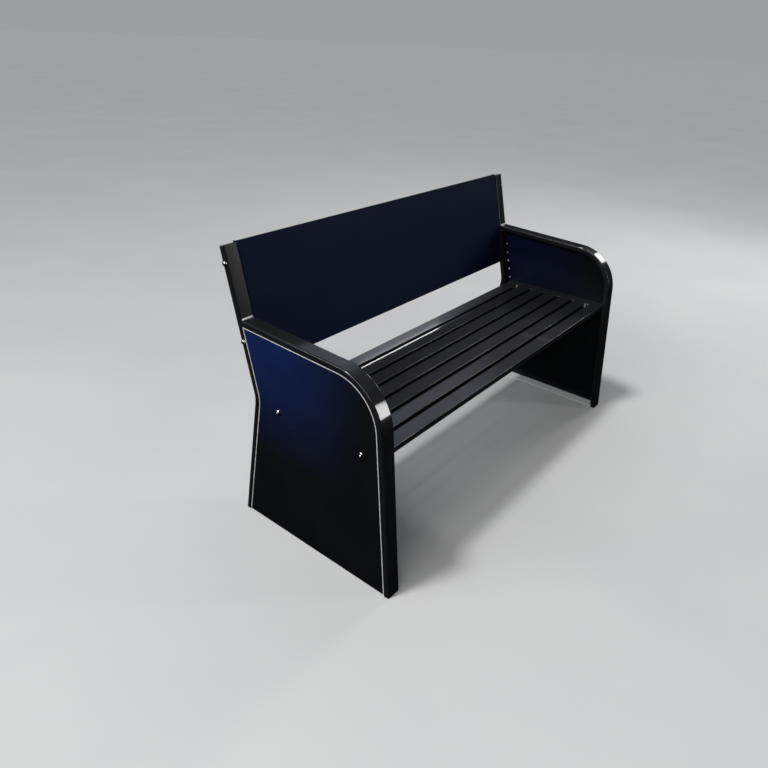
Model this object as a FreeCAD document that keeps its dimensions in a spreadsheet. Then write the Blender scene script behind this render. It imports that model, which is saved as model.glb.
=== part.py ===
import FreeCAD, Part
import Sketcher
import os
from math import hypot

# Court-side bench: two bent-tube side frames with sheet panels, a slatted seat and a backrest.
# X runs along the bench, the front faces -Y, Z is up, and the origin is on the floor under the
# middle of the bench's bounding box. Every size is in millimetres or degrees.

SIZES = {
    # overall
    "bench_length": 1500,
    "bench_depth": 652,
    "post_top": 900,
    # tube stock of the side frames and the seat: 50 x 20 mm
    "tube_face": 50,
    "tube_depth": 20,
    "tube_wall": 2,
    "tube_corner": 5,
    # front tube: leg, bend and armrest
    "leg_lean": 5.3,
    "arm_front_height": 681,
    "arm_slope": 1.9,
    "arm_bend": 165,
    # rear post: leans forward to the kink and back above it
    "post_lean": 14.25,
    "rear_leg_lean": 10,
    "kink_height": 458,
    "kink_bend": 100,
    # plastic caps and glides in the tube ends
    "cap_plate": 3,
    "cap_insert": 15,
    "cap_play": 0.2,
    # sheet panel inside each side frame, and its seam
    "panel_recess": 2.5,
    "panel_sheet": 3,
    "panel_clear": 2,
    "seam_width": 1.8,
    "seam_rise": 1.2,
    "seam_bite": 0.6,
    # welds
    "weld_leg": 3,
    "tack_length": 8,
    "tack_pitch": 37.5,
    "tack_start": 5,
    # flat bar along the floor inside each frame
    "foot_bar_width": 40,
    "foot_bar_sheet": 5,
    # seat
    "seat_front": 68,
    "seat_height": 463,
    "seat_tilt": 0.7,
    "seat_corner": 1.5,
    "slat_gap": 14.5,
    "slat_count": 7,
    "seat_play": 1,
    "seat_bolt_setback": 52,
    "seat_bolt_spread": 321,
    # backrest panel
    "back_bottom": 547,
    "back_top": 909,
    "back_inset": 3,
    "back_flange": 16,
    "back_sheet": 2,
    "back_fold": 2.5,
    "back_play": 0.5,
    "back_bolt_low": 634,
    "back_bolt_high": 855,
    # button-head bolts: M10 in the seat, M8 in the backrest
    "seat_thread": 5,
    "seat_head": 8.75,
    "seat_head_rise": 5,
    "seat_shank": 24,
    "seat_socket": 6,
    "back_thread": 4,
    "back_head": 7,
    "back_head_rise": 4.4,
    "back_shank": 62,
    "back_socket": 5,
    "socket_depth": 3,
    # washers of the backrest bolts, and rivet nuts
    "back_washer": 8,
    "washer_sheet": 1.6,
    "seat_nut": 6.5,
    "seat_nut_flange": 9,
    "seat_nut_length": 16,
    "back_nut": 5.4,
    "back_nut_flange": 6.4,
    "back_nut_length": 14,
    "hole_play": 0.5,
}

doc = FreeCAD.newDocument("court_bench")
sheet = doc.addObject("Spreadsheet::Sheet", "Sizes")
for row, (alias, value) in enumerate(SIZES.items(), start=1):
    sheet.set(f"A{row}", alias)
    sheet.set(f"B{row}", str(value))
    sheet.setAlias(f"B{row}", alias)
doc.recompute()

NODES = []
SIDES = {"left": -1, "right": 1}


# ------------------------------------------------------------------ outlines as expressions
# Each function gives a place in the side view as (y, z) expressions of the sheet's sizes.
# "inset" is the distance inward from the outer outline of a tube.

def leg_point(inset, height):
    """A point on a line parallel to the front leg, at a height."""
    y = f"-Sizes.bench_depth/2 + ({inset})/cos(Sizes.leg_lean) + ({height})*tan(Sizes.leg_lean)"
    return y, f"{height}"


def bend_point(inset):
    """Where the leg line and the arm line cross, both moved inward by the inset."""
    leg_y, height = leg_point("0", "Sizes.arm_front_height")
    scale = f"({inset})/cos(Sizes.leg_lean + Sizes.arm_slope)"
    y = f"{leg_y} + {scale}*(cos(Sizes.arm_slope) - sin(Sizes.leg_lean))"
    z = f"{height} - {scale}*(cos(Sizes.leg_lean) - sin(Sizes.arm_slope))"
    return y, z


def post_y(inset, height):
    """How far back the upper post's line lies at a height."""
    return (f"(Sizes.bench_depth/2 - ({inset})/cos(Sizes.post_lean)"
            f" + (({height}) - Sizes.post_top)*tan(Sizes.post_lean))")


def arm_point(arm_inset, post_inset):
    """Where the arm line meets a line parallel to the upper post."""
    bend_y, bend_z = bend_point("0")
    run = f"({post_y(post_inset, '0')} - ({bend_y}))*tan(Sizes.arm_slope)"
    z = (f"(({bend_z}) - ({arm_inset})/cos(Sizes.arm_slope) + {run})"
         f"/(1 - tan(Sizes.post_lean)*tan(Sizes.arm_slope))")
    return post_y(post_inset, z), z


def kink_point(inset):
    """Where the two straight stretches of the rear post cross."""
    rise = (f"({inset})*(1/cos(Sizes.post_lean) - 1/cos(Sizes.rear_leg_lean))"
            f"/(tan(Sizes.post_lean) + tan(Sizes.rear_leg_lean))")
    z = f"(Sizes.kink_height + {rise})"
    return post_y(inset, z), z


def rear_point(inset, height):
    """A point on a line parallel to the rear leg, at a height."""
    y = (f"{post_y('0', 'Sizes.kink_height')} - ({inset})/cos(Sizes.rear_leg_lean)"
         f" + (Sizes.kink_height - ({height}))*tan(Sizes.rear_leg_lean)")
    return y, f"{height}"


def post_end(inset, drop):
    """A point on a square cut across the post, below its top corner by the drop."""
    y = f"Sizes.bench_depth/2 - ({drop})*sin(Sizes.post_lean) - ({inset})*cos(Sizes.post_lean)"
    z = f"Sizes.post_top - ({drop})*cos(Sizes.post_lean) + ({inset})*sin(Sizes.post_lean)"
    return y, z


def shifted(point, dy, dz):
    """A point moved by two more expressions."""
    return f"{point[0]} + ({dy})", f"{point[1]} + ({dz})"


# ------------------------------------------------------------------ sketch and feature helpers

def new_body(label):
    """A body with its own label, which is also its file name."""
    body = doc.addObject("PartDesign::Body", label)
    body.Label = label
    body.AllowCompound = True
    return body


def origin_feature(body, role):
    return next(item for item in body.Origin.OriginFeatures if item.Role == role)


def new_sketch(body, name, plane, offset="0"):
    """A sketch on one of the body's own origin planes, moved along its normal."""
    sketch = body.newObject("Sketcher::SketchObject", name)
    sketch.AttachmentSupport = [(origin_feature(body, plane), "")]
    sketch.MapMode = "FlatFace"
    sketch.setExpression("AttachmentOffset.Base.z", offset)
    return sketch


def bind(sketch, kind, geometry, point, text):
    """A coordinate or size of the sketch that follows an expression."""
    value = number(text)
    if point is None:
        index = sketch.addConstraint(Sketcher.Constraint(kind, geometry, value))
    else:
        index = sketch.addConstraint(Sketcher.Constraint(kind, geometry, point, value))
    sketch.setExpression(f"Constraints[{index}]", text)


def number(text):
    """The present value of an expression."""
    value = sheet.evalExpression(text)
    return float(getattr(value, "Value", value))


def corner_tangents(before, corner, after, radius):
    """The two tangent points and the centre of an arc that rounds a corner."""
    ways = []
    for end in (before, after):
        length = hypot(end[0] - corner[0], end[1] - corner[1])
        ways.append(((end[0] - corner[0]) / length, (end[1] - corner[1]) / length))
    dot = ways[0][0] * ways[1][0] + ways[0][1] * ways[1][1]
    half_sine = ((1 - dot) / 2) ** 0.5
    half_cosine = ((1 + dot) / 2) ** 0.5
    reach = radius * half_cosine / half_sine
    tangents = [(corner[0] + way[0] * reach, corner[1] + way[1] * reach) for way in ways]
    middle = (ways[0][0] + ways[1][0], ways[0][1] + ways[1][1])
    scale = radius / half_sine / hypot(*middle)
    centre = (corner[0] + middle[0] * scale, corner[1] + middle[1] * scale)
    return tangents[0], tangents[1], centre


def add_outline(sketch, corners):
    """A closed loop through (y, z, radius) corners; a radius of None is a sharp corner."""
    places = [(number(y), number(z)) for y, z, _ in corners]
    radii = [None if radius is None else number(radius) for _, _, radius in corners]
    count = len(corners)
    points, ends = [], []
    for index, (place, radius) in enumerate(zip(places, radii)):
        before, after = places[index - 1], places[(index + 1) % count]
        points.append(sketch.addGeometry(Part.Point(FreeCAD.Vector(*place, 0)), True))
        bind(sketch, "DistanceX", points[-1], 1, corners[index][0])
        bind(sketch, "DistanceY", points[-1], 1, corners[index][1])
        if radius is None:
            ends.append((place, place, None))
        else:
            ends.append(corner_tangents(before, place, after, radius))
    lines = []
    for index in range(count):
        start, finish = ends[index][1], ends[(index + 1) % count][0]
        segment = Part.LineSegment(FreeCAD.Vector(*start, 0), FreeCAD.Vector(*finish, 0))
        lines.append(sketch.addGeometry(segment, False))
    for index, (first, second, centre) in enumerate(ends):
        arriving, leaving = lines[index - 1], lines[index]
        if centre is None:
            sketch.addConstraint(Sketcher.Constraint("Coincident", arriving, 2, points[index], 1))
            sketch.addConstraint(Sketcher.Constraint("Coincident", leaving, 1, points[index], 1))
            continue
        round_corner(sketch, corners[index][2], (first, second, centre), arriving, leaving)
        sketch.addConstraint(Sketcher.Constraint("PointOnObject", points[index], 1, arriving))
        sketch.addConstraint(Sketcher.Constraint("PointOnObject", points[index], 1, leaving))


def round_corner(sketch, radius, tangents, arriving, leaving):
    """An arc tangent to the line that arrives at a corner and the line that leaves it."""
    first, second, centre = tangents
    ways = [(point[0] - centre[0], point[1] - centre[1]) for point in (first, second)]
    turns_left = ways[0][0] * ways[1][1] - ways[0][1] * ways[1][0] > 0
    start, finish = (first, second) if turns_left else (second, first)
    middle_way = (ways[0][0] + ways[1][0], ways[0][1] + ways[1][1])
    scale = hypot(*ways[0]) / hypot(*middle_way)
    middle = (centre[0] + middle_way[0] * scale, centre[1] + middle_way[1] * scale)
    arc = Part.Arc(*(FreeCAD.Vector(*point, 0) for point in (start, middle, finish)))
    curve = sketch.addGeometry(arc, False)
    arc_first, arc_second = (1, 2) if turns_left else (2, 1)
    sketch.addConstraint(Sketcher.Constraint("Tangent", arriving, 2, curve, arc_first))
    sketch.addConstraint(Sketcher.Constraint("Tangent", leaving, 1, curve, arc_second))
    bind(sketch, "Radius", curve, None, radius)


def add_circle(sketch, place, radius):
    """A circle whose centre and radius follow expressions."""
    centre = FreeCAD.Vector(number(place[0]), number(place[1]), 0)
    circle = Part.Circle(centre, FreeCAD.Vector(0, 0, 1), number(radius))
    curve = sketch.addGeometry(circle, False)
    bind(sketch, "DistanceX", curve, 3, place[0])
    bind(sketch, "DistanceY", curve, 3, place[1])
    bind(sketch, "Radius", curve, None, radius)


def rectangle(low, high, radius=None):
    """The corners of an upright rectangle between two opposite (y, z) places."""
    return [(low[0], low[1], radius), (high[0], low[1], radius),
            (high[0], high[1], radius), (low[0], high[1], radius)]


def pad(body, sketch, length, reversed_way=False, midplane=False):
    feature = body.newObject("PartDesign::Pad", f"{body.Name}_pad")
    feature.Profile = sketch
    feature.setExpression("Length", length)
    feature.Reversed = reversed_way
    feature.Midplane = midplane
    doc.recompute()
    return feature


def pocket(body, sketch, length, reversed_way=False, midplane=False):
    """A cut that must take material away, or the build stops."""
    before = body.Shape.Volume
    feature = body.newObject("PartDesign::Pocket", f"{body.Name}_pocket")
    feature.Profile = sketch
    feature.setExpression("Length", length)
    feature.Reversed = reversed_way
    feature.Midplane = midplane
    doc.recompute()
    if body.Shape.Volume > before - 1:
        raise RuntimeError(f"{feature.Name} cuts nothing")
    return feature


def fillet(body, base, chooser, radius):
    """Round the edges of a feature that the chooser accepts."""
    names = [f"Edge{index}" for index, edge in enumerate(base.Shape.Edges, start=1) if chooser(edge)]
    feature = body.newObject("PartDesign::Fillet", f"{body.Name}_fillet")
    feature.Base = (base, names)
    feature.setExpression("Radius", radius)
    doc.recompute()
    return feature


def node(item):
    """Hand a finished sub-part over for export."""
    NODES.append(item)
    return item


def place_side(body, side):
    """Put a side frame's body against the bench's end; its sketches are at the outer face."""
    sign = "-" if side == "left" else ""
    body.setExpression("Placement.Base.x", f"{sign}Sizes.bench_length/2")


def inward(side):
    """A pad along the sketch's normal runs inward on the left and is turned round on the right."""
    return side == "right"


def inward_offset(side, distance):
    """How far along +X a plane lies that is inward of the outer face by a distance."""
    return distance if side == "left" else f"-({distance})"


# ------------------------------------------------------------------ side frames

DEPTH = "Sizes.tube_depth"
WALL = "Sizes.tube_wall"
CORE = "Sizes.tube_depth - Sizes.tube_wall"
FACE = "Sizes.tube_face"
CAP = "Sizes.cap_plate"


def front_band(near, far, foot, overrun):
    """The front tube's outline between two insets, from its foot to the post."""
    post = f"Sizes.tube_depth - ({overrun})"
    return [(*leg_point(near, foot), None),
            (*bend_point(near), f"Sizes.arm_bend - ({near})"),
            (*arm_point(near, post), None),
            (*arm_point(far, post), None),
            (*bend_point(far), f"Sizes.arm_bend - ({far})"),
            (*leg_point(far, foot), None)]


def rear_band(near, far, foot, drop):
    """The rear post's outline between two insets, from its foot to its top cut."""
    return [(*rear_point(near, foot), None),
            (*kink_point(near), f"Sizes.kink_bend + ({near})"),
            (*post_end(near, drop), None),
            (*post_end(far, drop), None),
            (*kink_point(far), f"Sizes.kink_bend + ({far})"),
            (*rear_point(far, foot), None)]


def runs_along_tube(edge):
    """True for the long edges of a padded band, not its end cuts or cross edges."""
    ends = [vertex.Point for vertex in edge.Vertexes]
    in_one_face = abs(ends[0].x - ends[1].x) < 1e-6
    return in_one_face and edge.Length > number(DEPTH) + number(WALL)


def bent_tube(label, side, band, ends):
    """A hollow rectangular tube that follows a band in the side view."""
    body = new_body(label)
    outer = new_sketch(body, f"{label}_outline", "YZ_Plane")
    add_outline(outer, band("0", DEPTH, ends["foot"], ends["top"]))
    tube = pad(body, outer, FACE, inward(side))
    fillet(body, tube, runs_along_tube, "Sizes.tube_corner")
    core = new_sketch(body, f"{label}_core", "YZ_Plane", inward_offset(side, WALL))
    add_outline(core, band(WALL, CORE, ends["foot_open"], ends["top_open"]))
    pocket(body, core, f"{FACE} - 2*{WALL}", not inward(side))
    place_side(body, side)
    return body


def side_prism(label, side, corners, start, length):
    """A body padded from one or more outlines, starting inward of the outer face."""
    body = new_body(label)
    for index, loop in enumerate(corners):
        sketch = new_sketch(body, f"{label}_outline{index}", "YZ_Plane", inward_offset(side, start[index]))
        add_outline(sketch, loop)
        pad(body, sketch, length[index], inward(side))
    place_side(body, side)
    return body


def plug(label, side, plate, insert):
    """A plastic plug: a plate as large as the tube's section and an insert inside its walls."""
    body = new_body(label)
    plate_sketch = new_sketch(body, f"{label}_plate", "YZ_Plane")
    add_outline(plate_sketch, plate)
    cover = pad(body, plate_sketch, FACE, inward(side))

    def at_corner(edge):
        return edge.Length < 1.5*number(CAP) and abs(edge.Vertexes[0].X - edge.Vertexes[-1].X) < 1e-6

    fillet(body, cover, at_corner, "Sizes.tube_corner")
    inner = f"{WALL} + Sizes.cap_play"
    insert_sketch = new_sketch(body, f"{label}_insert", "YZ_Plane", inward_offset(side, inner))
    add_outline(insert_sketch, insert)
    pad(body, insert_sketch, f"{FACE} - 2*({inner})", inward(side))
    place_side(body, side)
    return node(body)


def band_between(point_at, low, high, near, far):
    """Four corners between two insets and two heights, from a function of inset and height."""
    return [(*point_at(near, low), None), (*point_at(far, low), None),
            (*point_at(far, high), None), (*point_at(near, high), None)]


SEAT_BOLTS = []
for setback in ("Sizes.seat_bolt_setback", "Sizes.seat_bolt_setback + Sizes.seat_bolt_spread"):
    along = f"({setback})"
    bolt_y = (f"-Sizes.bench_depth/2 + Sizes.seat_front + {along}*cos(Sizes.seat_tilt)"
              f" - Sizes.tube_depth/2*sin(Sizes.seat_tilt)")
    bolt_z = (f"Sizes.seat_height - {along}*sin(Sizes.seat_tilt)"
              f" - Sizes.tube_depth/2*cos(Sizes.seat_tilt)")
    SEAT_BOLTS.append((bolt_y, bolt_z))

BACK_BOLTS = [(post_y("Sizes.tube_depth/2", height), height)
              for height in ("Sizes.back_bolt_low", "Sizes.back_bolt_high")]


def front_tube(side):
    body = bent_tube(f"{side}_arm_and_leg_tube", side, front_band,
                     {"foot": CAP, "top": "0", "foot_open": f"{CAP} - 1", "top_open": "1"})
    return node(body)


def rear_post(side):
    body = bent_tube(f"{side}_rear_post", side, rear_band,
                     {"foot": CAP, "top": CAP, "foot_open": f"{CAP} - 1", "top_open": f"{CAP} - 1"})
    holes = new_sketch(body, f"{side}_post_holes", "YZ_Plane", inward_offset(side, "-1"))
    for place in BACK_BOLTS:
        add_circle(holes, place, "Sizes.back_thread + Sizes.hole_play")
    pocket(body, holes, f"{FACE} + 2", not inward(side))
    return node(body)


def leg_plugs(side):
    play = "Sizes.cap_play"
    near, far = f"{WALL} + {play}", f"{CORE} - {play}"
    top = f"{CAP} + Sizes.cap_insert"
    for place, point_at in (("front", leg_point), ("rear", rear_point)):
        plug(f"{side}_{place}_foot_glide", side,
             band_between(point_at, "0", CAP, "0", DEPTH),
             band_between(point_at, CAP, top, near, far))
    plug(f"{side}_post_cap", side,
         band_between(post_end, "0", CAP, "0", DEPTH),
         band_between(post_end, CAP, top, near, far))


def side_panel(side):
    body = new_body(f"{side}_side_panel")
    outline = new_sketch(body, f"{side}_panel_outline", "YZ_Plane",
                         inward_offset(side, "Sizes.panel_recess"))
    foot = "Sizes.panel_clear"
    add_outline(outline, [(*leg_point(DEPTH, foot), None),
                          (*bend_point(DEPTH), f"Sizes.arm_bend - {DEPTH}"),
                          (*arm_point(DEPTH, DEPTH), None),
                          (*kink_point(DEPTH), f"Sizes.kink_bend + {DEPTH}"),
                          (*rear_point(DEPTH, foot), None)])
    pad(body, outline, "Sizes.panel_sheet", inward(side))
    holes = new_sketch(body, f"{side}_panel_holes", "YZ_Plane",
                       inward_offset(side, "Sizes.panel_recess - 1"))
    for place in SEAT_BOLTS:
        add_circle(holes, place, "Sizes.seat_thread + Sizes.hole_play")
    pocket(body, holes, "Sizes.panel_sheet + 2", not inward(side))
    place_side(body, side)
    return node(body)


def panel_seam(side):
    """The pale seam that closes the groove between the panel and the tubes on three sides."""
    near = f"{DEPTH} - Sizes.seam_bite"
    far = f"{near} + Sizes.seam_width"
    foot = CAP
    loop = [(*leg_point(near, foot), None),
            (*bend_point(near), f"Sizes.arm_bend - ({near})"),
            (*arm_point(near, near), None),
            (*kink_point(near), f"Sizes.kink_bend + {near}"),
            (*rear_point(near, foot), None),
            (*rear_point(far, foot), None),
            (*kink_point(far), f"Sizes.kink_bend + {far}"),
            (*arm_point(far, far), None),
            (*bend_point(far), f"Sizes.arm_bend - ({far})"),
            (*leg_point(far, foot), None)]
    start = "Sizes.panel_recess - Sizes.seam_rise"
    return node(side_prism(f"{side}_panel_seam", side, [loop], [start], ["Sizes.seam_rise"]))


def arm_welds(side):
    """Fillet welds above and below the armrest, where its tube butts against the post."""
    leg = "Sizes.weld_leg"
    forward = (f"-{leg}*cos(Sizes.arm_slope)", f"-{leg}*sin(Sizes.arm_slope)")
    up = (f"{leg}*sin(Sizes.post_lean)", f"{leg}*cos(Sizes.post_lean)")
    down = (f"-{leg}*sin(Sizes.post_lean)", f"-{leg}*cos(Sizes.post_lean)")
    above, below = arm_point("0", DEPTH), arm_point(DEPTH, DEPTH)
    loops = [[(*above, None), (*shifted(above, *forward), None), (*shifted(above, *up), None)],
             [(*below, None), (*shifted(below, *forward), None), (*shifted(below, *down), None)]]
    corner = "Sizes.tube_corner"
    inner = "Sizes.panel_recess + Sizes.panel_sheet"
    body = side_prism(f"{side}_arm_weld", side, loops, [corner, inner],
                      [f"{FACE} - 2*{corner}", f"{FACE} - {corner} - ({inner})"])
    return node(body)


def tack_row(label, side, start, lean, count):
    """Short welds in the corner between the panel's inner face and a tube, in a straight row."""
    body = new_body(label)
    leg = "Sizes.weld_leg"
    sketch = new_sketch(body, f"{label}_section", "XY_Plane")
    across = leg if side == "left" else f"-{leg}"
    add_outline(sketch, [("0", "0", None), (across, "0", None), ("0", f"{start['way']}*{leg}", None)])
    tack = pad(body, sketch, "Sizes.tack_length")
    row = body.newObject("PartDesign::LinearPattern", f"{label}_row")
    row.Originals = [tack]
    row.Direction = (origin_feature(body, "Z_Axis"), [""])
    row.setExpression("Length", f"Sizes.tack_pitch*{count - 1}")
    row.Occurrences = count
    body.Tip = row
    doc.recompute()
    inner = "Sizes.bench_length/2 - Sizes.panel_recess - Sizes.panel_sheet"
    body.setExpression("Placement.Base.x", inner if side == "right" else f"-({inner})")
    body.setExpression("Placement.Base.y", start["place"][0])
    body.setExpression("Placement.Base.z", start["place"][1])
    body.Placement.Rotation = FreeCAD.Rotation(FreeCAD.Vector(-1, 0, 0), 1)
    body.setExpression("Placement.Rotation.Angle", lean)
    return node(body)


def tacks(side):
    """Tack welds up the post above and below its kink, and up the front leg."""
    first = "Sizes.kink_height + Sizes.tack_start"
    tack_row(f"{side}_upper_tacks", side, {"place": (post_y(DEPTH, first), first), "way": -1},
             "Sizes.post_lean", 5)
    tack_row(f"{side}_rear_leg_tacks", side, {"place": rear_point(DEPTH, "40"), "way": -1},
             "-Sizes.rear_leg_lean", 9)
    tack_row(f"{side}_front_leg_tacks", side, {"place": leg_point(DEPTH, "40"), "way": 1},
             "Sizes.leg_lean", 9)


def foot_bar(side):
    """The flat bar along the floor that ties the front leg to the rear leg."""
    body = new_body(f"{side}_foot_bar")
    sketch = new_sketch(body, f"{side}_foot_bar_outline", "XY_Plane")
    inner = "Sizes.panel_recess + Sizes.panel_sheet"
    front = leg_point(DEPTH, "Sizes.foot_bar_sheet")[0]
    rear = rear_point(DEPTH, "Sizes.foot_bar_sheet")[0]
    low = inner if side == "left" else f"-({inner}) - Sizes.foot_bar_width"
    add_outline(sketch, rectangle((low, front), (f"{low} + Sizes.foot_bar_width", rear)))
    pad(body, sketch, "Sizes.foot_bar_sheet")
    place_side(body, side)
    return node(body)


for side_name in SIDES:
    front_tube(side_name)
    rear_post(side_name)
    leg_plugs(side_name)
    side_panel(side_name)
    panel_seam(side_name)
    arm_welds(side_name)
    tacks(side_name)
    foot_bar(side_name)


# ------------------------------------------------------------------ seat
# Seat bodies share one placement: the origin at the middle of the top front edge, tilted back.

BAR_START = "Sizes.panel_recess + Sizes.panel_sheet + Sizes.seat_play"
SEAT_DEPTH = "(Sizes.slat_count*Sizes.tube_face + (Sizes.slat_count - 1)*Sizes.slat_gap)"


def place_seat(body):
    body.Placement.Rotation = FreeCAD.Rotation(FreeCAD.Vector(-1, 0, 0), 1)
    body.setExpression("Placement.Rotation.Angle", "Sizes.seat_tilt")
    body.setExpression("Placement.Base.y", "-Sizes.bench_depth/2 + Sizes.seat_front")
    body.setExpression("Placement.Base.z", "Sizes.seat_height")


def tube_section(sketch, low, high):
    """The two loops of a seat tube's section, rounded outside and sharp inside."""
    add_outline(sketch, rectangle(low, high, "Sizes.seat_corner"))
    inner_low = (f"{low[0]} + {WALL}", f"{low[1]} + {WALL}")
    inner_high = (f"{high[0]} - {WALL}", f"{high[1]} - {WALL}")
    add_outline(sketch, rectangle(inner_low, inner_high))


def slat(index):
    body = new_body(f"seat_slat_{index + 1}")
    sketch = new_sketch(body, f"slat_{index + 1}_section", "YZ_Plane")
    front = f"{index}*({FACE} + Sizes.slat_gap)"
    tube_section(sketch, (front, f"-{DEPTH}"), (f"{front} + {FACE}", "0"))
    pad(body, sketch, f"Sizes.bench_length - 2*({BAR_START} + {FACE})", midplane=True)
    place_seat(body)
    return node(body)


def end_bar(side):
    """The cross tube at one end of the seat, with holes for its two rivet nuts."""
    body = new_body(f"{side}_seat_bar")
    sketch = new_sketch(body, f"{side}_seat_bar_section", "XZ_Plane", f"-{CAP}")
    outer = f"Sizes.bench_length/2 - ({BAR_START})"
    low = f"-({outer})" if side == "left" else f"{outer} - {FACE}"
    tube_section(sketch, (low, f"-{DEPTH}"), (f"{low} + {FACE}", "0"))
    pad(body, sketch, f"{SEAT_DEPTH} - 2*{CAP}", True)
    holes = new_sketch(body, f"{side}_seat_bar_holes", "YZ_Plane",
                       f"-({outer}) - 1" if side == "left" else f"{outer} + 1")
    for setback in ("Sizes.seat_bolt_setback", "Sizes.seat_bolt_setback + Sizes.seat_bolt_spread"):
        add_circle(holes, (setback, f"-{DEPTH}/2"), "Sizes.seat_nut")
    pocket(body, holes, f"{WALL} + 2", side == "left")
    place_seat(body)
    return node(body)


def bar_caps(side):
    """Plastic caps in both ends of a seat bar."""
    body = new_body(f"{side}_seat_bar_caps")
    outer = f"Sizes.bench_length/2 - ({BAR_START})"
    low = f"-({outer})" if side == "left" else f"{outer} - {FACE}"
    inner = f"({WALL} + Sizes.cap_play)"
    inner_low = (f"{low} + {inner}", f"-{DEPTH} + {inner}")
    inner_high = (f"{low} + {FACE} - {inner}", f"-{inner}")
    ends = (("0", CAP), (f"-({SEAT_DEPTH})", f"-({SEAT_DEPTH}) + {CAP} + Sizes.cap_insert"))
    for index, (plate_start, insert_start) in enumerate(ends):
        plate = new_sketch(body, f"{side}_bar_cap_plate{index}", "XZ_Plane",
                           plate_start if index == 0 else f"{plate_start} + {CAP}")
        add_outline(plate, rectangle((low, f"-{DEPTH}"), (f"{low} + {FACE}", "0"), "Sizes.seat_corner"))
        pad(body, plate, CAP, True)
        insert = new_sketch(body, f"{side}_bar_cap_insert{index}", "XZ_Plane",
                            f"-{CAP}" if index == 0 else insert_start)
        add_outline(insert, rectangle(inner_low, inner_high))
        pad(body, insert, "Sizes.cap_insert", True)
    place_seat(body)
    return node(body)


def slat_welds(side):
    """Fillet welds down both sides of every slat, where it butts against the seat bar."""
    body = new_body(f"{side}_slat_welds")
    leg = "Sizes.weld_leg"
    face = f"Sizes.bench_length/2 - ({BAR_START}) - {FACE}"
    bar_x = f"-({face})" if side == "left" else face
    tip_x = f"{bar_x} + {leg}" if side == "left" else f"{bar_x} - {leg}"
    sketch = new_sketch(body, f"{side}_slat_weld_sections", "XY_Plane", f"-{DEPTH} + Sizes.seat_corner")
    for gap in range(SIZES["slat_count"] - 1):
        for near, tip in gap_sides(gap):
            add_outline(sketch, [(bar_x, near, None), (tip_x, near, None), (bar_x, tip, None)])
    pad(body, sketch, f"{DEPTH} - 2*Sizes.seat_corner")
    place_seat(body)
    return node(body)


def gap_sides(gap):
    """The two slat faces that bound a gap, each with the place its weld reaches to."""
    front = f"({gap + 1}*{FACE} + {gap}*Sizes.slat_gap)"
    rear = f"({front} + Sizes.slat_gap)"
    return (front, f"{front} + Sizes.weld_leg"), (rear, f"{rear} - Sizes.weld_leg")


for slat_index in range(SIZES["slat_count"]):
    slat(slat_index)
for side_name in SIDES:
    end_bar(side_name)
    bar_caps(side_name)
    slat_welds(side_name)


# ------------------------------------------------------------------ backrest
# The panel's own frame: Z up the slope, the front face in the XZ plane, the depth along +Y.

def backrest():
    """A sheet whose two ends are folded back into flanges that the posts' bolts hold."""
    body = new_body("backrest_panel")
    slope = "(Sizes.back_top - Sizes.back_bottom)/cos(Sizes.post_lean)"
    width = f"Sizes.bench_length - 2*{FACE} - 2*Sizes.back_play"
    sheet_size = "Sizes.back_sheet"
    outline = new_sketch(body, "backrest_outline", "XZ_Plane")
    add_outline(outline, rectangle((f"-({width})/2", "0"), (f"({width})/2", slope)))
    plate = pad(body, outline, "Sizes.back_flange", True)
    reach = number(f"({width})/2")

    def on_front_fold(edge):
        return all(abs(vertex.Y) < 1e-6 and abs(abs(vertex.X) - reach) < 1e-6 for vertex in edge.Vertexes)

    fillet(body, plate, on_front_fold, "Sizes.back_fold")
    core = new_sketch(body, "backrest_core", "XZ_Plane", f"-{sheet_size}")
    low = (f"-({width})/2 + {sheet_size}", "-1")
    high = (f"({width})/2 - {sheet_size}", f"{slope} + 1")
    add_outline(core, rectangle(low, high))
    pocket(body, core, "Sizes.back_flange", False)
    holes = new_sketch(body, "backrest_holes", "YZ_Plane")
    for height in ("Sizes.back_bolt_low", "Sizes.back_bolt_high"):
        add_circle(holes, back_bolt_in_panel(height), "Sizes.back_nut")
    pocket(body, holes, "Sizes.bench_length", midplane=True)
    body.Placement.Rotation = FreeCAD.Rotation(FreeCAD.Vector(-1, 0, 0), 1)
    body.setExpression("Placement.Rotation.Angle", "Sizes.post_lean")
    body.setExpression("Placement.Base.y", post_y(f"{DEPTH} - Sizes.back_inset", "Sizes.back_bottom"))
    body.setExpression("Placement.Base.z", "Sizes.back_bottom")
    return node(body)


def back_bolt_in_panel(height):
    """A backrest bolt's place in the panel's own frame."""
    across = "Sizes.tube_depth/2 - Sizes.back_inset"
    up = (f"(({height}) - Sizes.back_bottom)/cos(Sizes.post_lean)"
          f" + ({across})*tan(Sizes.post_lean)")
    return across, up


backrest()


# ------------------------------------------------------------------ fasteners
# Each fastener is drawn once along its own X axis, with X = 0 at the face it bears on.

def bolt_pattern_body(name, size):
    """A button-head bolt: the head rises towards -X, the shank runs towards +X."""
    body = new_body(name)
    thread, head, rise = (f"Sizes.{size}_{part}" for part in ("thread", "head", "head_rise"))
    profile = new_sketch(body, f"{name}_profile", "XY_Plane")
    add_outline(profile, [(f"-{rise}", "0", None), (f"-{rise}", head, f"{rise}*0.85"),
                          ("0", head, None), ("0", thread, None),
                          (f"Sizes.{size}_shank", thread, None), (f"Sizes.{size}_shank", "0", None)])
    turned = body.newObject("PartDesign::Revolution", f"{name}_turned")
    turned.Profile = profile
    turned.ReferenceAxis = (origin_feature(body, "X_Axis"), [""])
    turned.Angle = 360
    doc.recompute()
    socket = new_sketch(body, f"{name}_socket", "YZ_Plane", f"-{rise} - 1")
    add_hexagon(socket, f"Sizes.{size}_socket")
    pocket(body, socket, "Sizes.socket_depth + 1", True)
    return body


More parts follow.
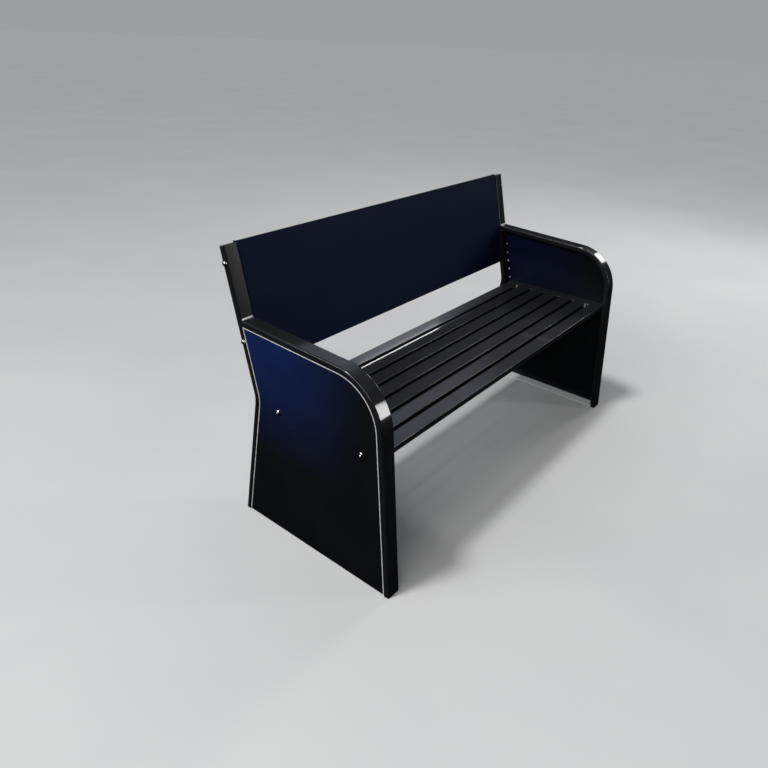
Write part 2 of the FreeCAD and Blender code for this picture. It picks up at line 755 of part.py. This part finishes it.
def add_hexagon(sketch, flats):
    """A hexagon about the origin, given across its flats."""
    corners = []
    for step in range(6):
        reach = f"({flats})/2/cos(30)"
        corners.append((f"{reach}*cos({60 * step + 30})", f"{reach}*sin({60 * step + 30})", None))
    add_outline(sketch, corners)


def ring_body(name, outer, inner, length):
    """A plain ring along +X."""
    body = new_body(name)
    sketch = new_sketch(body, f"{name}_section", "YZ_Plane")
    add_circle(sketch, ("0", "0"), outer)
    add_circle(sketch, ("0", "0"), inner)
    pad(body, sketch, length)
    return body


def rivet_nut_body(size):
    """A flanged rivet nut: the flange fills the play outside the wall, the barrel runs inside."""
    play, thread, nut = f"Sizes.{size}_play", f"Sizes.{size}_thread", f"Sizes.{size}_nut"
    body = ring_body(f"{size}_nut_pattern", f"{nut}_flange", thread, play)
    barrel = new_sketch(body, f"{size}_nut_barrel", "YZ_Plane", play)
    add_circle(barrel, ("0", "0"), nut)
    add_circle(barrel, ("0", "0"), thread)
    pad(body, barrel, f"{nut}_length")
    return body


def fastener_group(label, pattern, places, depth):
    """Copies of one fastener at both ends of the bench, at a depth inward of the outer face."""
    doc.recompute()
    copies = []
    reach = number("Sizes.bench_length/2") - number(depth)
    for y_text, z_text in places:
        for sign in SIDES.values():
            turn = FreeCAD.Rotation(FreeCAD.Vector(0, 0, 1), 0 if sign < 0 else 180)
            place = FreeCAD.Vector(sign * reach, number(y_text), number(z_text))
            copy = pattern.Shape.copy()
            copy.Placement = FreeCAD.Placement(place, turn)
            copies.append(copy)
    group = doc.addObject("Part::Feature", label)
    group.Label = label
    group.Shape = Part.makeCompound(copies)
    return node(group)


seat_bolt = bolt_pattern_body("seat_bolt_pattern", "seat")
back_bolt = bolt_pattern_body("back_bolt_pattern", "back")
back_washer = ring_body("back_washer_pattern", "Sizes.back_washer", "Sizes.back_thread",
                        "Sizes.washer_sheet")
seat_nut = rivet_nut_body("seat")
back_nut = rivet_nut_body("back")

PANEL_INNER = "Sizes.panel_recess + Sizes.panel_sheet"
fastener_group("seat_bolts", seat_bolt, SEAT_BOLTS, "Sizes.panel_recess")
fastener_group("seat_rivet_nuts", seat_nut, SEAT_BOLTS, PANEL_INNER)
fastener_group("backrest_bolts", back_bolt, BACK_BOLTS, "-Sizes.washer_sheet")
fastener_group("backrest_bolt_washers", back_washer, BACK_BOLTS, "-Sizes.washer_sheet")
fastener_group("backrest_rivet_nuts", back_nut, BACK_BOLTS, FACE)


# ------------------------------------------------------------------ checks and export

doc.recompute()
for item in doc.Objects:
    if "Invalid" in item.State or "Error" in item.State:
        raise RuntimeError(f"{item.Name} failed: {item.State}")
for item in NODES:
    if item.Shape.isNull() or not item.Shape.isValid():
        raise RuntimeError(f"{item.Label} has no valid shape")

os.makedirs("parts", exist_ok=True)
for item in NODES:
    item.Shape.exportStep(f"parts/{item.Label}.step")
    box = item.Shape.BoundBox
    print(f"{item.Label}: {len(item.Shape.Solids)} solids, {item.Shape.Volume:.0f} mm3,"
          f" x {box.XMin:.1f}..{box.XMax:.1f}, y {box.YMin:.1f}..{box.YMax:.1f},"
          f" z {box.ZMin:.1f}..{box.ZMax:.1f}")
print(len(NODES), "nodes")
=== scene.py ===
import math
import random

import bmesh
import bpy
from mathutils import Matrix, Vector


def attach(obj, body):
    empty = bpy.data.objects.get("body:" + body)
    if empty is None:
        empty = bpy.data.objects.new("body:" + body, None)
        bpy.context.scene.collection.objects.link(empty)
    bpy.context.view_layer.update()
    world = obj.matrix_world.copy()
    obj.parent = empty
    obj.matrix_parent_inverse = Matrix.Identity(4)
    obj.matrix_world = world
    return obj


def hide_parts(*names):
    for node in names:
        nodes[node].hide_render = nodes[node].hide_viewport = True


# Court-side bench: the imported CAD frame, painted and welded, on a pale studio floor.
# Metres; X along the bench, the front faces -Y, Z up.

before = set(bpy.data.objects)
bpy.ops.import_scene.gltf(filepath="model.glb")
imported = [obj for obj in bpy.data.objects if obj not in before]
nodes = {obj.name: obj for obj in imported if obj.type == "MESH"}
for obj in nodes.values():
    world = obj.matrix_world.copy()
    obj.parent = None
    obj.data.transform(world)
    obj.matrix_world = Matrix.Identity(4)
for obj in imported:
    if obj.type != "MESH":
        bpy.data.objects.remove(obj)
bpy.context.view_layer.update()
SIDES = {"left": -1, "right": 1}


# ------------------------------------------------------------------ node-graph helpers

class Graph:
    """A material's node tree with short calls for the nodes that the finishes share."""

    def __init__(self, name):
        self.material = bpy.data.materials.new(name)
        self.material.use_nodes = True
        self.tree = self.material.node_tree
        self.shader = self.tree.nodes["Principled BSDF"]
        self.place = self.tree.nodes.new("ShaderNodeTexCoord").outputs["Object"]
        self.height = None

    def link(self, source, target):
        self.tree.links.new(source, target)

    def node(self, kind, inputs=None, **settings):
        made = self.tree.nodes.new(kind)
        for key, value in settings.items():
            setattr(made, key, value)
        for key, value in (inputs or {}).items():
            if isinstance(value, bpy.types.NodeSocket):
                self.link(value, made.inputs[key])
            else:
                made.inputs[key].default_value = value
        return made

    def stretched(self, scale):
        """The object's coordinates, scaled differently along each axis."""
        return self.node("ShaderNodeMapping", {"Vector": self.place, "Scale": scale}).outputs[0]

    def noise(self, scale, detail=3.0, roughness=0.55, vector=None):
        inputs = {"Vector": vector or self.place, "Scale": scale,
                  "Detail": detail, "Roughness": roughness}
        return self.node("ShaderNodeTexNoise", inputs).outputs["Fac"]

    def cells(self, scale):
        inputs = {"Vector": self.place, "Scale": scale}
        return self.node("ShaderNodeTexVoronoi", inputs).outputs["Distance"]

    def span(self, value, low, high, to_low=0.0, to_high=1.0):
        """A value carried from one range to another and held inside it."""
        inputs = {"Value": value, "From Min": low, "From Max": high,
                  "To Min": to_low, "To Max": to_high}
        return self.node("ShaderNodeMapRange", inputs, clamp=True).outputs["Result"]

    def maths(self, operation, first, second):
        return self.node("ShaderNodeMath", {0: first, 1: second}, operation=operation).outputs[0]

    def mix(self, factor, first, second):
        """A colour between two others; a plain colour is given as three numbers."""
        made = self.node("ShaderNodeMix", {"Factor": factor}, data_type="RGBA")
        colour_inputs = [item for item in made.inputs if item.type == "RGBA"]
        for socket, value in zip(colour_inputs, (first, second)):
            if isinstance(value, bpy.types.NodeSocket):
                self.link(value, socket)
            else:
                socket.default_value = (*value, 1.0)
        return next(item for item in made.outputs if item.type == "RGBA")

    def facing_up(self, low=0.55, high=0.98):
        """How far the surface faces the sky."""
        normal = self.node("ShaderNodeNewGeometry").outputs["Normal"]
        up = self.node("ShaderNodeSeparateXYZ", {0: normal}).outputs["Z"]
        return self.span(up, low, high)

    def along(self, axis, low, high, to_low=0.0, to_high=1.0):
        """A value that changes along one axis of the bench."""
        position = self.node("ShaderNodeSeparateXYZ", {0: self.place}).outputs[axis]
        return self.span(position, low, high, to_low, to_high)

    def edges(self, radius, low=0.9, high=0.995):
        """One along sharp edges, nought on flat faces."""
        soft = self.node("ShaderNodeBevel", {"Radius": radius}, samples=6).outputs[0]
        hard = self.node("ShaderNodeNewGeometry").outputs["Normal"]
        likeness = self.node("ShaderNodeVectorMath", {0: soft, 1: hard}, operation="DOT_PRODUCT")
        return self.span(likeness.outputs["Value"], low, high, 1.0, 0.0)

    def bump(self, height, distance):
        """Adds one more layer of relief to the surface."""
        inputs = {"Height": height, "Distance": distance, "Strength": 1.0}
        if self.height is not None:
            inputs["Normal"] = self.height
        self.height = self.node("ShaderNodeBump", inputs).outputs[0]
        self.link(self.height, self.shader.inputs["Normal"])

    def set(self, **values):
        """Sockets of the shader, by name with underscores for spaces."""
        for key, value in values.items():
            socket = self.shader.inputs[key.replace("_", " ")]
            if isinstance(value, bpy.types.NodeSocket):
                self.link(value, socket)
            elif isinstance(value, tuple):
                socket.default_value = (*value, 1.0)
            else:
                socket.default_value = value
        return self.material


# ------------------------------------------------------------------ finishes

DUST = (0.30, 0.29, 0.27)
WORN_STEEL = (0.22, 0.22, 0.22)
CHIPPED_EDGE_RADIUS = 0.0012
ORANGE_PEEL_DEPTH = 0.00002
SHEET_WAVE_DEPTH = 0.0002


def powder_coat(name, dark, light, roughness, specular, skin=(0.0, 0.1), dust_amount=0.1,
                painted_reflection_tones=None):
    """Satin powder coat on steel: fine orange peel, worn corners, a film of dust on top faces.
    skin is the share and the roughness of a thin glossy layer on top of the paint;
    the pair of navy tones is a painted reflection, strongest high up, to the rear and on the left
    (near) side."""
    graph = Graph(name)
    tone = graph.span(graph.noise(7.0, 4.0), 0.3, 0.7)
    colour = graph.mix(tone, dark, light)
    if painted_reflection_tones:
        # painted reflection: navy mixed into the paint high up, towards the rear and more on the left
        # side
        painted_reflection_mask = graph.maths("MULTIPLY", graph.along("Z", 0.28, 0.62), graph.along("Y", -0.20, 0.10))
        painted_reflection_mask = graph.maths("MULTIPLY", painted_reflection_mask, graph.along("X", -0.7, 0.7, 1.0, 0.45))
        painted_reflection_mask = graph.maths("MULTIPLY", painted_reflection_mask, graph.span(graph.noise(2.2, 3.0), 0.2, 0.6, 0.7, 1.0))
        colour = graph.mix(painted_reflection_mask, colour, graph.mix(tone, *painted_reflection_tones))
    grain = graph.span(graph.noise(55.0, 5.0, 0.65), 0.35, 0.7)
    dust = graph.maths("MULTIPLY", graph.facing_up(), grain)
    colour = graph.mix(graph.maths("MULTIPLY", dust, dust_amount * 0.12), colour, DUST)
    chips = graph.span(graph.noise(210.0, 2.0, 0.7), 0.66, 0.72)
    bare = graph.maths("MULTIPLY", graph.edges(CHIPPED_EDGE_RADIUS), chips)
    colour = graph.mix(graph.maths("MULTIPLY", bare, 0.5), colour, WORN_STEEL)
    smears = graph.span(graph.noise(9.0, 5.0, 0.6, graph.stretched((0.25, 1.0, 0.6))), 0.3, 0.7)
    gloss = graph.span(smears, 0.0, 1.0, roughness - 0.015, roughness + 0.03)
    gloss = graph.maths("ADD", gloss, graph.maths("MULTIPLY", dust, dust_amount * 0.25))
    graph.bump(graph.noise(420.0, 2.0), ORANGE_PEEL_DEPTH)
    graph.bump(graph.noise(5.0, 1.0), SHEET_WAVE_DEPTH)
    return graph.set(Base_Color=colour, Roughness=gloss, Specular_IOR_Level=specular,
                     Coat_Weight=skin[0], Coat_Roughness=skin[1])


def bright_metal(name, colour, roughness, brush=0.05):
    """Bright metal with fine turning marks and uneven polish."""
    graph = Graph(name)
    patches = graph.span(graph.noise(120.0, 4.0), 0.3, 0.75)
    tint = graph.mix(patches, colour, tuple(value * 0.72 for value in colour))
    gloss = graph.span(graph.noise(340.0, 3.0), 0.3, 0.7, roughness - brush, roughness + brush * 2)
    graph.bump(graph.noise(900.0, 2.0), 0.00004)
    return graph.set(Base_Color=tint, Roughness=gloss, Metallic=1.0)


def weld_metal(name):
    """Weld bead: silvery, with dark heat colour between the ripples."""
    graph = Graph(name)
    heat = graph.span(graph.noise(260.0, 4.0, 0.7), 0.35, 0.65)
    colour = graph.mix(heat, (0.88, 0.87, 0.84), (0.45, 0.44, 0.43))
    gloss = graph.span(graph.noise(500.0, 2.0), 0.3, 0.7, 0.22, 0.48)
    graph.bump(graph.noise(800.0, 3.0), 0.0002)
    return graph.set(Base_Color=colour, Roughness=gloss, Metallic=0.35)


def seam_sealant(name):
    """Pale sealant in the panel's groove: slightly wavy, with grey dirt in it."""
    graph = Graph(name)
    dirt = graph.span(graph.noise(90.0, 5.0, 0.7), 0.35, 0.75)
    colour = graph.mix(dirt, (0.80, 0.80, 0.78), (0.46, 0.46, 0.45))
    gloss = graph.span(graph.noise(300.0, 2.0), 0.3, 0.7, 0.3, 0.5)
    graph.bump(graph.noise(160.0, 3.0), 0.0005)
    return graph.set(Base_Color=colour, Roughness=gloss)


def moulded_plastic(name):
    """Black moulded plastic with a fine spark-eroded texture."""
    graph = Graph(name)
    tone = graph.span(graph.noise(60.0, 4.0), 0.3, 0.7)
    colour = graph.mix(tone, (0.012, 0.012, 0.013), (0.03, 0.03, 0.031))
    gloss = graph.span(graph.noise(300.0, 3.0), 0.3, 0.7, 0.42, 0.6)
    graph.bump(graph.noise(1400.0, 2.0), 0.00008)
    return graph.set(Base_Color=colour, Roughness=gloss, Specular_IOR_Level=0.4)


def galvanised(name):
    """Zinc-coated flat bar: pale spangles, dulled and dusty."""
    graph = Graph(name)
    spangle = graph.span(graph.cells(140.0), 0.1, 0.7)
    colour = graph.mix(spangle, (0.86, 0.87, 0.87), (0.70, 0.71, 0.71))
    dirt = graph.span(graph.noise(26.0, 6.0, 0.7), 0.6, 0.9)
    colour = graph.mix(dirt, colour, DUST)
    gloss = graph.span(graph.noise(80.0, 3.0), 0.3, 0.7, 0.38, 0.6)
    graph.bump(graph.noise(200.0, 3.0), 0.0002)
    return graph.set(Base_Color=colour, Roughness=gloss, Metallic=0.15)


FINISHES = {
    "frame": powder_coat("frame_powder_coat", (0.0055, 0.006, 0.007), (0.009, 0.0095, 0.0105),
                         roughness=0.40, specular=0.08, skin=(0.8, 0.09)),
    "slat": powder_coat("slat_powder_coat", (0.004, 0.0045, 0.0055), (0.008, 0.009, 0.011),
                        roughness=0.36, specular=0.35, skin=(0.7, 0.06), dust_amount=0.12),
    # the side panel's navy tones are a painted reflection, not the paint's own colour
    "side_panel": powder_coat("side_panel_paint", (0.0032, 0.0040, 0.0048), (0.0048, 0.0058, 0.0070),
                              roughness=0.28, specular=0.12,
                              painted_reflection_tones=((0.0038, 0.0108, 0.056), (0.0054, 0.0145, 0.076))),
    "backrest": powder_coat("backrest_paint", (0.0020, 0.0076, 0.0240), (0.0026, 0.0090, 0.0280),
                            roughness=0.5, specular=0.04),
    "bolt": bright_metal("stainless_steel", (0.86, 0.86, 0.85), 0.14),
    "insert": bright_metal("zinc_plate", (0.62, 0.61, 0.56), 0.3),
    "weld": weld_metal("weld_bead_metal"),
    "seam": seam_sealant("panel_sealant"),
    "cap": moulded_plastic("cap_plastic_black"),
    "foot_bar": galvanised("galvanised_flat_bar"),
}


def finish_for(name):
    """The finish of a CAD node, from the words in its name."""
    words = (("seam", "seam"), ("weld", "weld"), ("tacks", "weld"), ("rivet_nut", "insert"),
             ("bolt", "bolt"), ("glide", "cap"), ("cap", "cap"), ("side_panel", "side_panel"),
             ("backrest", "backrest"), ("foot_bar", "foot_bar"), ("slat", "slat"), ("seat_bar", "slat"))
    return next((finish for word, finish in words if word in name), "frame")


def paint_nodes():
    for name, item in nodes.items():
        item.data.materials.clear()
        item.data.materials.append(FINISHES[finish_for(name)])


paint_nodes()


# ------------------------------------------------------------------ weld beads
# Each weld is a plain three-sided prism in the CAD. Here it becomes a rounded, rippled bead.

RIPPLE_LENGTH = 0.0016
RIPPLE_DEPTH = 0.16
RINGS_PER_RIPPLE = 5
LEAST_RINGS = 10
SECTION_STEPS = 6
WANDER = 0.07
END_LENGTH = 0.0012
END_SIZE = 0.12
# bare welds are drawn fuller than those under paint
BARE_SWELL = 1.35


def place_order(point):
    """A sorting key that depends only on where a point lies."""
    return round(point.y, 4), round(point.z, 4), round(point.x, 4)


def islands(item):
    """The separate solids of a CAD node, each as its distinct corner points.
    Both are sorted by place, so that the beads and their random draws are the same each run."""
    mesh = bmesh.new()
    mesh.from_mesh(item.data)
    bmesh.ops.remove_doubles(mesh, verts=mesh.verts, dist=1e-5)
    waiting, groups = set(mesh.verts), []
    while waiting:
        front = [waiting.pop()]
        group = list(front)
        while front:
            for edge in front.pop().link_edges:
                for vert in edge.verts:
                    if vert in waiting:
                        waiting.remove(vert)
                        front.append(vert)
                        group.append(vert)
        groups.append(sorted((vert.co.copy() for vert in group), key=place_order))
    mesh.free()
    return sorted(groups, key=lambda points: place_order(points[0]))


def prism_frame(points):
    """The square corner's line of a three-sided prism, and its two legs as vectors."""
    middle = sum(points, Vector()) / len(points)
    ways = [first - second for first in points for second in points if first != second]
    along = max(ways, key=lambda way: way.length)
    ends = sorted(points, key=lambda point: (point - middle).dot(along))
    first, last = ends[:3], ends[3:]

    def squareness(corner):
        legs = [other - corner for other in first if other != corner]
        return abs(legs[0].normalized().dot(legs[1].normalized()))

    corner = min(first, key=squareness)
    legs = [other - corner for other in first if other != corner]
    shift = sum(last, Vector()) / 3 - sum(first, Vector()) / 3
    return corner, corner + shift, legs


def bead_rings(start, finish, legs, dice, swell):
    """Rings of points along a bead: its size ripples, wanders a little and closes at both ends."""
    length = (finish - start).length
    count = max(LEAST_RINGS, round(length / RIPPLE_LENGTH) * RINGS_PER_RIPPLE)
    wander = [dice.uniform(-WANDER, WANDER) for _ in range(count // RINGS_PER_RIPPLE + 2)]
    for index in range(count + 1):
        along = index / count
        ripple = index % RINGS_PER_RIPPLE / RINGS_PER_RIPPLE
        close = max(0.0, 1.0 - abs(2 * along - 1) ** max(4.0, length / END_LENGTH)) ** 0.5
        size = swell * (1 - RIPPLE_DEPTH * ripple + wander[index // RINGS_PER_RIPPLE])
        size *= max(close, END_SIZE)
        centre = start.lerp(finish, along)
        ring = [centre]
        for step in range(SECTION_STEPS + 1):
            turn = math.pi / 2 * step / SECTION_STEPS
            ring.append(centre + size * (legs[0] * math.cos(turn) + legs[1] * math.sin(turn)))
        yield ring


def weld_piece(name, is_bare, seed):
    """One piece of rippled beads that stands for a CAD node of plain weld prisms.
    Bare beads take the first material, painted ones the second."""
    dice = random.Random(seed)
    mesh = bmesh.new()
    groups = islands(nodes[name])
    for number, points in enumerate(groups):
        bare = is_bare(number, len(groups))
        swell = BARE_SWELL if bare else 1.0
        rings = [[mesh.verts.new(point) for point in ring]
                 for ring in bead_rings(*prism_frame(points), dice, swell)]
        faces = [mesh.faces.new(rings[0]), mesh.faces.new(reversed(rings[-1]))]
        for near, far in zip(rings, rings[1:]):
            for index in range(len(near)):
                following = (index + 1) % len(near)
                corners = (near[index], far[index], far[following], near[following])
                faces.append(mesh.faces.new(corners))
        for face in faces:
            face.material_index = 0 if bare else 1
            face.smooth = True
    bmesh.ops.recalc_face_normals(mesh, faces=mesh.faces)
    data = bpy.data.meshes.new(f"{name}_beads")
    mesh.to_mesh(data)
    mesh.free()
    data.materials.append(FINISHES["weld"])
    data.materials.append(FINISHES["slat"])
    item = bpy.data.objects.new(f"{name}_beads", data)
    bpy.context.scene.collection.objects.link(item)
    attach(item, "root")
    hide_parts(name)


def end_gaps_only(number, count):
    """True for the welds of the seat's first and last gaps, drawn in bare weld metal; the others take
    the seat's paint.
    """
    return number < 2 or number >= count - 2


def every_weld(number, count):
    return True


for side in SIDES:
    weld_piece(f"{side}_arm_weld", every_weld, 11)
    weld_piece(f"{side}_slat_welds", end_gaps_only, 23)
    for row in ("upper", "rear_leg", "front_leg"):
        weld_piece(f"{side}_{row}_tacks", every_weld, 37)


# ------------------------------------------------------------------ studio

FAR_FLOOR_TONE = (0.335, 0.342, 0.353, 1.0)
SKY_TINT = (0.86, 0.96, 1.14)
SHADE = 0.03
HORIZON_FADE = (0.27, 0.37)
FRONT_FADE = (0.05, 0.35)
# strength of the sky behind the bench, from left to right
SKY_STOPS = ((0.50, 0.28), (0.59, 0.34), (0.62, 0.40), (0.66, 0.64), (0.70, 0.60), (0.755, 0.50),
             (0.78, 0.30), (0.80, 0.06), (0.84, 0.03))


def add_floor():
    """A pale floor, big enough that its edge is never seen. It is kept out of the black paint's
    reflections."""
    bpy.ops.mesh.primitive_circle_add(vertices=96, radius=60.0, fill_type="NGON")
    floor = bpy.context.object
    floor.name = "studio_floor"
    graph = Graph("studio_floor_paint")
    tone = graph.span(graph.noise(1.5, 3.0), 0.3, 0.7)
    colour = graph.mix(tone, (0.54, 0.54, 0.54), (0.57, 0.57, 0.565))
    graph.bump(graph.noise(300.0, 3.0), 0.0002)
    floor.data.materials.append(graph.set(Base_Color=colour, Roughness=0.9, Specular_IOR_Level=0.1))
    floor.visible_glossy = False


def aim(item, place, target):
    item.location = place
    item.rotation_mode = "QUATERNION"
    item.rotation_quaternion = (Vector(target) - Vector(place)).to_track_quat("-Z", "Y")


def add_soft_light(name, place, target, size, power):
    lamp = bpy.data.lights.new(name, "AREA")
    lamp.shape = "RECTANGLE"
    lamp.size, lamp.size_y = size
    lamp.energy = power
    item = bpy.data.objects.new(name, lamp)
    aim(item, place, target)
    item.visible_camera = False
    bpy.context.scene.collection.objects.link(item)


def add_sky_light(name, way, strength, spread):
    """Even light from far away, soft because it comes from a wide patch of sky."""
    lamp = bpy.data.lights.new(name, "SUN")
    lamp.energy = strength
    lamp.angle = math.radians(spread)
    item = bpy.data.objects.new(name, lamp)
    aim(item, way, (0.0, 0.0, 0.0))
    bpy.context.scene.collection.objects.link(item)


def add_world():
    """Cool soft light from a patch of sky up behind the bench. It is dark elsewhere and at the
    horizon. The camera sees one pale tone that meets the floor."""
    world = bpy.data.worlds.new("studio_world")
    world.use_nodes = True
    tree = world.node_tree
    way = tree.nodes.new("ShaderNodeSeparateXYZ")
    tree.links.new(tree.nodes.new("ShaderNodeTexCoord").outputs["Generated"], way.inputs[0])

    def fade(axis, low, high):
        made = tree.nodes.new("ShaderNodeMapRange")
        for key, value in {"From Min": low, "From Max": high, "To Min": SHADE}.items():
            made.inputs[key].default_value = value
        tree.links.new(way.outputs[axis], made.inputs["Value"])
        return made.outputs["Result"]

    def mix(first, second, factor, blend="MIX"):
        made = tree.nodes.new("ShaderNodeMix")
        made.data_type, made.blend_type = "RGBA", blend
        colour_inputs = [item for item in made.inputs if item.type == "RGBA"]
        for socket, value in ((made.inputs["Factor"], factor), *zip(colour_inputs, (first, second))):
            if isinstance(value, bpy.types.NodeSocket):
                tree.links.new(value, socket)
            else:
                socket.default_value = value
        return next(item for item in made.outputs if item.type == "RGBA")

    glow = tree.nodes.new("ShaderNodeValToRGB")
    stops = glow.color_ramp.elements
    while len(stops) < len(SKY_STOPS):
        stops.new(0.5)
    for stop, (place, strength) in zip(stops, SKY_STOPS):
        stop.position = place
        stop.color = (*(strength * part for part in SKY_TINT), 1.0)
    tree.links.new(way.outputs["X"], glow.inputs["Fac"])
    sky = mix(glow.outputs["Color"], fade("Z", *HORIZON_FADE), 1.0, "MULTIPLY")
    sky = mix(sky, fade("Y", *FRONT_FADE), 1.0, "MULTIPLY")
    seen = tree.nodes.new("ShaderNodeLightPath").outputs["Is Camera Ray"]
    tree.links.new(mix(sky, FAR_FLOOR_TONE, seen), tree.nodes["Background"].inputs["Color"])
    bpy.context.scene.world = world


def add_camera():
    """A view from the left, in front and above, level but for a slight roll."""
    data = bpy.data.cameras.new("photo_camera")
    data.sensor_width = 36.0
    data.lens = 30.22
    data.clip_start, data.clip_end = 0.05, 200.0
    camera = bpy.data.objects.new("photo_camera", data)
    camera.location = (-1.8178, -1.1118, 1.4517)
    camera.rotation_euler = tuple(math.radians(angle) for angle in (60.82, -2.20, -50.67))
    bpy.context.scene.collection.objects.link(camera)
    bpy.context.scene.camera = camera


add_floor()
add_world()
add_camera()
add_sky_light("overhead_sky", (-0.40, 0.25, 1.0), 1.9, 9.0)
add_soft_light("near_bend_softbox", (4.63, -5.98, 2.0), (-0.73, -0.25, 0.6), (0.7, 3.1), 115.0)
add_soft_light("far_bend_softbox", (3.9, -0.7, 2.1), (0.72, -0.2, 0.65), (0.9, 0.9), 22.0)
add_soft_light("left_strip_softbox", (-3.6, 0.0, 3.0), (-0.75, 0.0, 0.5), (6.0, 0.8), 120.0)
add_soft_light("slat_strip_softbox", (3.15, 2.60, 2.4), (3.15, 0.1, 0.46), (1.35, 0.05), 3.5)
add_soft_light("slat_edge_softbox", (3.9, -0.1, 3.9), (0.0, -0.1, 0.46), (0.9, 0.9), 28.0)

bpy.context.scene.view_settings.view_transform = "Standard"
bpy.context.scene.view_settings.look = "None"
